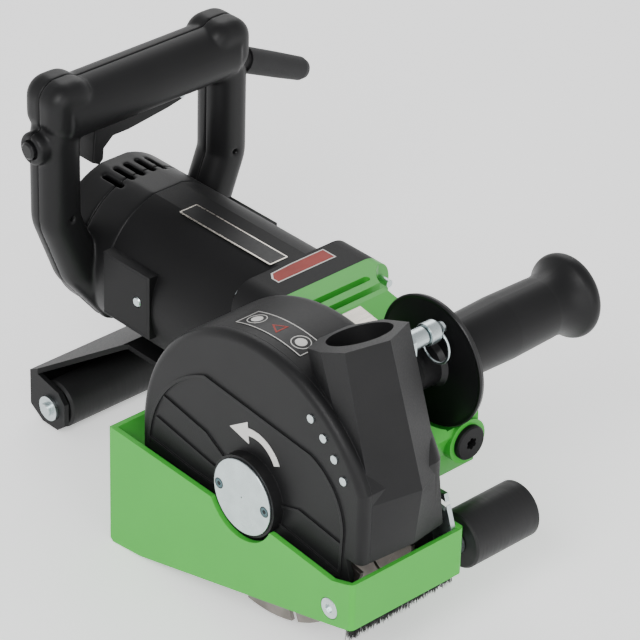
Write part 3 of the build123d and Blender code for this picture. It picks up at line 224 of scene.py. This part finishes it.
def make_materials():
    """One procedural material for each of the record's slots."""
    kinds = {}
    # The second colour given to each finish is its painted edge highlight, mixed onto the edges
    # by finish_material.
    kinds["black_casting"] = finish_material(
        "black_casting", (0.009, 0.009, 0.0095), (0.03, 0.03, 0.032), 0.44, grain=1300.0,
        depth=0.6, distance=0.00012, mottle=40.0, specular=0.2)
    green = dict(colour=(0.048, 0.385, 0.04), edge_highlight=(0.10, 0.5, 0.085), roughness=0.34,
                 grain=420.0, depth=0.06, mottle=18.0, shade=0.93, specular=0.16, coat=0.06)
    kinds["green_paint"] = finish_material("green_paint", **green)
    kinds["green_sheet"] = finish_material("green_sheet", edge=0.0006, **green)
    kinds["black_sheet"] = finish_material(
        "black_sheet", (0.008, 0.008, 0.0085), (0.04, 0.04, 0.04), 0.45, grain=1100.0, depth=0.2,
        specular=0.2)
    kinds["housing_plastic"] = finish_material(
        "housing_plastic", (0.008, 0.008, 0.0085), (0.02, 0.02, 0.021), 0.5, grain=2400.0,
        depth=0.55, distance=0.0001, mottle=30.0, specular=0.16)
    kinds["handle_plastic"] = finish_material(
        "handle_plastic", (0.008, 0.008, 0.0085), (0.02, 0.02, 0.021), 0.42, grain=2600.0,
        depth=0.35, mottle=26.0, specular=0.22)
    kinds["guard_plastic"] = finish_material(
        "guard_plastic", (0.006, 0.006, 0.0065), (0.02, 0.02, 0.021), 0.36, grain=250.0,
        depth=0.01, specular=0.3)
    kinds["sleeve_rubber"] = finish_material(
        "sleeve_rubber", (0.018, 0.018, 0.019), (0.05, 0.05, 0.052), 0.62, grain=1800.0,
        depth=0.3, specular=0.3)
    kinds["roller_plastic"] = finish_material(
        "roller_plastic", (0.011, 0.011, 0.0115), (0.03, 0.03, 0.03), 0.5, grain=700.0,
        depth=0.35, stretch=(1.0, 0.12, 0.12), specular=0.3)
    kinds["zinc_steel"] = finish_material(
        "zinc_steel", (0.60, 0.68, 0.69), (0.85, 0.88, 0.88), 0.3, metallic=1.0, grain=500.0,
        depth=0.08, mottle=120.0, shade=0.86)
    kinds["machined_steel"] = finish_material(
        "machined_steel", (0.5, 0.5, 0.51), (0.75, 0.75, 0.76), 0.32, metallic=1.0,
        grain=900.0, depth=0.15, stretch=(0.1, 1.0, 1.0))
    kinds["disc_steel"] = finish_material(
        "disc_steel", (0.30, 0.27, 0.25), (0.5, 0.47, 0.44), 0.45, metallic=1.0, grain=1300.0,
        depth=0.5, mottle=70.0, shade=0.6)
    kinds["core_steel"] = finish_material(
        "core_steel", (0.3, 0.3, 0.31), (0.5, 0.5, 0.5), 0.45, metallic=1.0, grain=1500.0,
        depth=0.3, stretch=(0.1, 1.0, 0.1))
    kinds["copper_wire"] = finish_material(
        "copper_wire", (0.5, 0.2, 0.09), (0.8, 0.4, 0.2), 0.35, metallic=1.0, grain=900.0,
        depth=0.4, stretch=(1.0, 0.08, 1.0))
    kinds["brass_tube"] = finish_material(
        "brass_tube", (0.65, 0.45, 0.16), (0.8, 0.65, 0.35), 0.32, metallic=1.0)
    kinds["carbon"] = finish_material(
        "carbon", (0.02, 0.02, 0.021), (0.08, 0.08, 0.08), 0.6, grain=1600.0)
    kinds["bristles"] = finish_material(
        "bristles", (0.012, 0.012, 0.012), (0.05, 0.05, 0.048), 0.55, mottle=900.0, shade=0.4)
    kinds["label_print"] = finish_material(
        "label_print", (0.62, 0.61, 0.58), (0.7, 0.7, 0.68), 0.4, grain=500.0, depth=0.03,
        mottle=90.0, shade=0.9)
    kinds["screw_teal"] = finish_material(
        "screw_teal", (0.10, 0.17, 0.19), (0.3, 0.36, 0.37), 0.36, metallic=1.0, grain=600.0,
        depth=0.05)
    # Painted shade: near-black colour for flat marks standing in for the shaded countersinks,
    # screw sockets and centre hole on the hub plate.
    kinds["painted_recess_shade"] = finish_material(
        "painted_recess_shade", (0.008, 0.014, 0.016), (0.02, 0.03, 0.03), 0.5, grain=600.0,
        depth=0.05, specular=0.2)
    kinds["label_black"] = finish_material(
        "label_black", (0.008, 0.008, 0.0085), (0.02, 0.02, 0.02), 0.36, grain=500.0,
        depth=0.03, mottle=50.0, shade=0.8, specular=0.2)
    kinds["label_red"] = finish_material(
        "label_red", (0.30, 0.022, 0.014), (0.4, 0.06, 0.04), 0.34, grain=500.0, depth=0.03,
        mottle=30.0, shade=0.7, specular=0.15)
    kinds["plate_metal"] = finish_material(
        "plate_metal", (0.62, 0.58, 0.52), (0.8, 0.78, 0.75), 0.28, metallic=1.0,
        grain=700.0, depth=0.2, stretch=(0.06, 1.0, 1.0), mottle=30.0)
    return kinds


def paint_nodes(kinds):
    """Gives every CAD node the material of its slot."""
    slots = {entry["node"]: entry["material_slot"] for entry in frame["record"]["subparts"]}
    for name, node in frame["nodes"].items():
        material = kinds[slots[name]]
        if not node.data.materials:
            node.data.materials.append(material)
        for place in node.material_slots:
            place.material = material


# --- Rear handle: softly blended mouldings ---
def soften_handle():
    """Blends the handle shells' shoulders, legs and grip into one another."""
    for name in ("handle_front", "handle_rear"):
        shell = frame["nodes"][name]
        voxels = shell.modifiers.new("voxels", "REMESH")
        voxels.mode = "VOXEL"
        voxels.voxel_size = 0.8 * MM
        voxels.use_smooth_shade = True
        blend = shell.modifiers.new("blend", "SMOOTH")
        blend.factor = 0.5
        blend.iterations = 14


# --- Brush strip: a back strip and its bristles ---
def make_bristles(material):
    """Rows of thin tapered bristles under the frame's front panel."""
    low, high = [Vector(corner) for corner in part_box("brush_strip")]
    points, faces = [], []
    left, right = low.x - 6.5 * MM, high.x + 2.0 * MM
    columns, rows = 330, 5
    root_radius, tip_radius = 0.24 * MM, 0.1 * MM
    holder_height, holder_depth, root_depth = 9 * MM, 2.2 * MM, 6.0 * MM
    for row in range(rows):
        for column in range(columns):
            share = (column + random.random()) / columns
            root = Vector((left + (right - left) * share,
                           low.y + (0.2 + 0.55 * row) * MM, high.z - root_depth))
            fan = (0.5 - share) * -1.2 * MM
            tip = Vector((root.x + random.uniform(-1.4, 1.4) * MM + fan,
                          root.y + random.uniform(-1.6, 1.0) * MM,
                          low.z + random.uniform(-0.4, 3.2) * MM + share * 2.5 * MM))
            start = len(points)
            for centre, radius in ((root, root_radius), (tip, tip_radius)):
                for corner in range(3):
                    angle = corner * math.tau / 3 + column
                    points.append(centre + Vector((math.cos(angle), math.sin(angle), 0)) * radius)
            for corner in range(3):
                following = (corner + 1) % 3
                faces.append([start + corner, start + following, start + 3 + following,
                              start + 3 + corner])
            faces.append([start + 5, start + 4, start + 3])
            faces.append([start, start + 1, start + 2])
    piece = mesh_piece("bristle_rows", points, faces, "skid_frame", "bristles", material)
    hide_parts("brush_strip")
    outline = [Vector((left, low.y, high.z)), Vector((right, low.y, high.z)),
               Vector((right, low.y, high.z - holder_height)),
               Vector((left, low.y, high.z - holder_height))]
    holder = mesh_piece("bristle_holder", *slab(outline, Vector((0, holder_depth, 0))),
                        "skid_frame", "bristles", material)
    rounded(holder, 0.4 * MM)


# --- Hub plate: screw sockets and centre dot, their recesses given as painted shade ---
def flat_ring(back, outer, inner, sides, thick):
    """Thin ring lying on the hub plate, with its centre level with the plate's middle."""
    points, faces = [], []
    for corner in range(sides):
        spin = math.tau * corner / sides
        for reach in (inner, outer):
            for lift in (0.0, thick):
                points.append(at(SUNK - lift, back + reach * math.cos(spin),
                                 reach * math.sin(spin)))
    for corner in range(sides):
        a, b = 4 * corner, 4 * ((corner + 1) % sides)
        faces += [[a, b, b + 1, a + 1], [a + 2, a + 3, b + 3, b + 2],
                  [a, a + 2, b + 2, b], [a + 1, b + 1, b + 3, a + 3]]
    return points, faces


def make_hub_marks(kinds):
    """Countersunk socket screws and the turning centre on the hub plate, with painted shade in
    the countersinks, sockets and centre hole.
    """
    # The dark countersink rings, hex sockets and centre dot are painted shade, put where the
    # recesses would be shaded.
    marks = (("hub_countersink_shade_", 3.1, 2.5, 36, 0.05, "painted_recess_shade"),
             ("hub_screw_", 2.5, 1.35, 36, 0.06, "screw_teal"),
             ("hub_socket_shade_", 1.36, POINT, 6, 0.04, "painted_recess_shade"))
    for side_name, back in (("rear", HUB_SCREW_CIRCLE), ("front", -HUB_SCREW_CIRCLE)):
        for name, outer, inner, sides, thick, kind in marks:
            mesh_piece(name + side_name, *flat_ring(back, outer, inner, sides, thick), "machine",
                       "zinc_steel", kinds[kind])
    mesh_piece("hub_centre_shade", *flat_ring(0.0, 0.45, POINT, 18, 0.03), "machine", "zinc_steel",
               kinds["painted_recess_shade"])


# --- Labels ---
def curved_strip(radius, start, end, low, high, steps=24):
    """Thin strip on the hood's rim: angles in degrees, positions right of the hub."""
    points, faces = [], []
    for step in range(steps + 1):
        angle = math.radians(start + (end - start) * step / steps)
        for reach in (radius, radius + 0.12):
            for right in (low, high):
                points.append(at(right, reach * math.cos(angle), reach * math.sin(angle)))
    for step in range(steps):
        a, b = 4 * step, 4 * step + 4
        faces += [[a, a + 1, b + 1, b], [a + 2, b + 2, b + 3, a + 3], [a, b, b + 2, a + 2],
                  [a + 1, a + 3, b + 3, b + 1]]
    faces += [[0, 2, 3, 1], [4 * steps, 4 * steps + 1, 4 * steps + 3, 4 * steps + 2]]
    return points, faces


def curved_disc(radius, angle, right, size, hole=0.0, sides=40, turn=0.0):
    """Thin round, ring or many-sided mark wrapped on the hood's rim."""
    points, faces = [], []
    rings = (size, hole if hole else POINT)
    for corner in range(sides):
        spin = math.tau * corner / sides + turn
        for reach in (radius, radius + 0.1):
            for ring_size in rings:
                along = math.radians(angle) + ring_size * math.cos(spin) / radius
                points.append(at(right + ring_size * math.sin(spin),
                                 reach * math.cos(along), reach * math.sin(along)))
    for corner in range(sides):
        a, b = 4 * corner, 4 * ((corner + 1) % sides)
        faces += [[a, b, b + 1, a + 1], [a + 2, a + 3, b + 3, b + 2], [a, a + 2, b + 2, b],
                  [a + 1, b + 1, b + 3, a + 3]]
    return points, faces


def make_hood_label(kinds):
    """Black band with a pale border and three plain marks that stand for nothing."""
    low, high = [Vector(corner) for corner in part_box("hood_label")]
    left, right = (low.x - HUB.x) / MM, (high.x - HUB.x) / MM
    radius = (high.z - HUB.z) / MM
    start, end, edge = 71.2, 102.8, 0.5
    across = math.degrees(edge / radius)
    band = mesh_piece("label_band", *curved_strip(radius - 0.25, start, end, left, right),
                      "machine", "label_print", kinds["label_black"])
    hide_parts("hood_label")
    sides = (("label_edge_left", start, end, left + 0.4, left + 0.4 + edge),
             ("label_edge_right", start, end, right - 0.4 - edge, right - 0.4),
             ("label_edge_rear", start, start + across, left + 0.4, right - 0.4),
             ("label_edge_front", end - across, end, left + 0.4, right - 0.4))
    for name, first, last, near, far in sides:
        mesh_piece(name, *curved_strip(radius - 0.15, first, last, near, far), "machine",
                   "label_print", kinds["label_print"])
    middle = (left + right) / 2
    for name, angle, size, hole in (("label_ring_rear", 76.3, 5.4, 4.9),
                                    ("label_ring_front", 97.7, 5.4, 4.9),
                                    ("label_dot_rear", 76.3, 3.2, 0.0),
                                    ("label_dot_front", 97.7, 3.2, 0.0)):
        mesh_piece(name, *curved_disc(radius - 0.13, angle, middle, size, hole), "machine",
                   "label_print", kinds["label_print"])
    mesh_piece("label_triangle",
               *curved_disc(radius - 0.13, 87, middle, 5.2, 3.4, sides=3, turn=math.pi),
               "machine", "label_print", kinds["label_red"])


def make_collar_sticker(kinds):
    """Blank red sticker with a pale border, on the flat top of the motor collar."""
    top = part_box("motor_housing")[1][2]
    middle_right, middle_back = 109.0, 76.2
    for name, inset, lift, kind in (("sticker_border", 0.0, 0.10, "label_print"),
                                    ("sticker_field", 0.8, 0.16, "label_red")):
        outline = []
        for right, back in ((91.5, 80.6), (88.4, 76.5), (88.4, 71.0), (130.0, 71.0),
                            (130.0, 81.5), (106.0, 81.5)):
            pull = Vector(((1 if right < middle_right else -1) * inset,
                           (1 if back < middle_back else -1) * inset))
            place = at(right + pull.x, back + pull.y, 0.0)
            outline.append(Vector((place.x, place.y, top + SUNK * MM)))
        points, faces = slab(outline, Vector((0, 0, lift * MM)))
        mesh_piece(name, points, faces, "machine", "label_print", kinds[kind])


def make_name_field(kinds):
    """Blank black field inside the pale rim of the strip along the motor's top."""
    plate_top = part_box("motor_housing")[1][2] + 0.41 * MM
    outline = []
    for right, back in ((97.9, 88.0), (109.1, 88.0), (109.1, 160.0), (97.9, 160.0)):
        place = at(right, back, 0.0)
        outline.append(Vector((place.x, place.y, plate_top)))
    mesh_piece("name_field", *slab(outline, Vector((0, 0, 0.06 * MM))), "machine",
               "label_print", kinds["label_black"])


# --- Floor and light ---
def make_stage():
    """Pale plain floor and soft studio light."""
    bpy.ops.mesh.primitive_plane_add(size=8.0, location=(0, 0, 0))
    floor = bpy.context.object
    floor.name = "floor"
    material, tree, shader = new_material("floor")
    tint = mixed(tree, ranged(tree, noise(tree, 3.0), 0.0, 1.0), (0.93, 0.93, 0.93),
                 (0.95, 0.95, 0.95))
    tree.links.new(tint, shader.inputs["Base Color"])
    shader.inputs["Roughness"].default_value = 0.8
    shader.inputs["Emission Color"].default_value = (1.0, 1.0, 1.0, 1.0)
    shader.inputs["Emission Strength"].default_value = 0.55
    floor.data.materials.append(material)
    world = bpy.data.worlds.new("studio")
    bpy.context.scene.world = world
    world.use_nodes = True
    sky = world.node_tree
    direction = sky.nodes.new("ShaderNodeTexCoord")
    split = sky.nodes.new("ShaderNodeSeparateXYZ")
    sky.links.new(direction.outputs["Generated"], split.inputs["Vector"])
    dome = mixed(sky, ranged(sky, split.outputs["Z"], 0.0, 1.0, 0.15, 1.0), (1.0, 1.0, 1.0),
                 (0.45, 0.45, 0.46))
    sky.links.new(dome, sky.nodes["Background"].inputs["Color"])
    world.node_tree.nodes["Background"].inputs["Strength"].default_value = 1.15
    lamps = (("key", (-1.1, -0.6, 1.1), 0.7, 17.0), ("fill", (-0.4, -1.5, 0.6), 1.0, 7.0),
             ("rim", (0.9, 0.9, 1.1), 0.9, 6.0))
    for name, place, size, power in lamps:
        data = bpy.data.lights.new(name, "AREA")
        data.size = size
        data.energy = power
        lamp = bpy.data.objects.new(name, data)
        lamp.location = place
        aim = Vector((0, 0, 0.08)) - lamp.location
        lamp.rotation_euler = aim.to_track_quat("-Z", "Y").to_euler()
        bpy.context.scene.collection.objects.link(lamp)


kinds = make_materials()
make_camera()
paint_nodes(kinds)
soften_handle()
make_bristles(kinds["bristles"])
make_hub_marks(kinds)
make_hood_label(kinds)
make_collar_sticker(kinds)
make_name_field(kinds)
make_stage()
